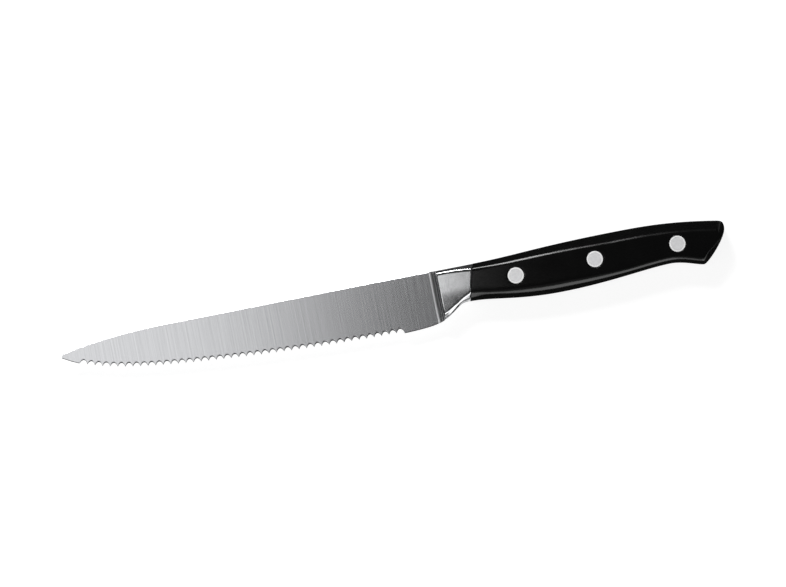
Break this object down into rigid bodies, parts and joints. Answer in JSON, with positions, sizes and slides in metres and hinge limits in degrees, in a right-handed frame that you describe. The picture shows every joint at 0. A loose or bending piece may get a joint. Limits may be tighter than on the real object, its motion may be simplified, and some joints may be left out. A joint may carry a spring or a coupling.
{
  "type": "tomato knife",
  "caption": "Kitchen knife with a slim scalloped-edge blade, forged bolster, full tang and black plastic scales held by flush rivets.",
  "frame": {"origin": "middle of the knife's length and height, on the surface that it lies on, right side down", "axes": "+X from the tip to the butt, +Y from the edge to the spine, +Z from the right side to the left side"},
  "size_m": [0.247, 0.0216, 0.0135],
  "materials": {
    "blade_steel": "blade finely ground across, bolster polished",
    "scale_plastic": "satin black moulded acetal",
    "rivet_metal": "ground flush, satin with a brighter bevel"
  },
  "bodies": {
    "root": {"blade_forging": "blade_steel", "left_scale": "scale_plastic", "right_scale": "scale_plastic", "front_rivet_post": "rivet_metal", "front_rivet_sleeve": "rivet_metal", "middle_rivet_post": "rivet_metal", "middle_rivet_sleeve": "rivet_metal", "rear_rivet_post": "rivet_metal", "rear_rivet_sleeve": "rivet_metal"}
  },
  "joints": []
}
